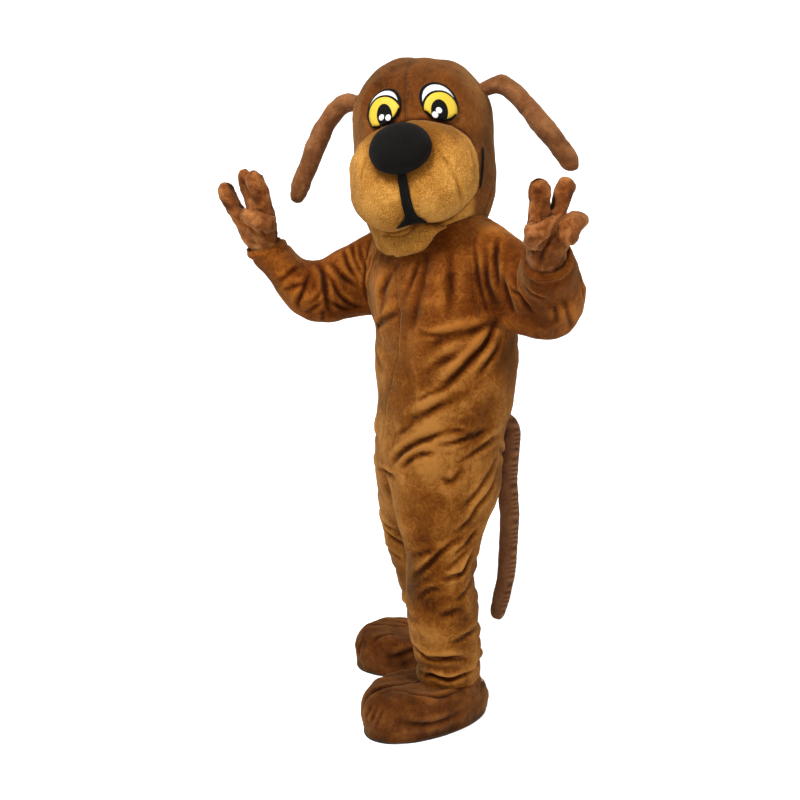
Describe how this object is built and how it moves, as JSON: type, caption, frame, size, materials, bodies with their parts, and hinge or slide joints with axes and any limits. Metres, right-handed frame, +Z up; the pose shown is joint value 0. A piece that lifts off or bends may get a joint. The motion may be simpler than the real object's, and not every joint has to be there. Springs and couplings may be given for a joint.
{
  "type": "dog mascot costume",
  "caption": "Full-body plush hound costume with a hollow padded head, loose suit with a stuffed tail, big gloves and soft shoes, standing as if worn, with no wearer.",
  "frame": {"origin": "the middle of the suit's neck opening at shoulder height, where the wearer's shoulders carry the costume", "axes": "+Z up, the chest faces -Y, and +X is towards the wearer's left"},
  "size_m": [1.0572, 0.7134, 1.8748],
  "materials": {
    "brown_plush": "short chestnut plush with a soft sheen",
    "tan_plush": "short golden tan plush",
    "black_cloth": "matte black cloth",
    "eye_cloth": "smooth stitched cloth in white, yellow and black",
    "red_tab": "red tape",
    "sole_rubber": "dark grey matte rubber"
  },
  "bodies": {
    "root": {"chin": "tan_plush", "ear_left": "brown_plush", "ear_right": "brown_plush", "eye_left": "eye_cloth", "eye_right": "eye_cloth", "glove_back_left": "brown_plush", "glove_back_right": "brown_plush", "glove_palm_left": "brown_plush", "glove_palm_right": "brown_plush", "glove_thumb_left": "brown_plush", "glove_thumb_right": "brown_plush", "head_left": "brown_plush", "head_right": "brown_plush", "heel_tab": "red_tab", "mouth_corner_left": "black_cloth", "mouth_corner_right": "black_cloth", "mouth_stripe": "black_cloth", "muzzle_left": "tan_plush", "muzzle_right": "tan_plush", "nose": "black_cloth", "shoe_inner_left": "brown_plush", "shoe_inner_right": "brown_plush", "shoe_outer_left": "brown_plush", "shoe_outer_right": "brown_plush", "sleeve_left": "brown_plush", "sleeve_right": "brown_plush", "sole_left": "sole_rubber", "sole_right": "sole_rubber", "suit_back_left": "brown_plush", "suit_back_right": "brown_plush", "suit_front_left": "brown_plush", "suit_front_right": "brown_plush", "tail": "brown_plush"}
  },
  "joints": []
}
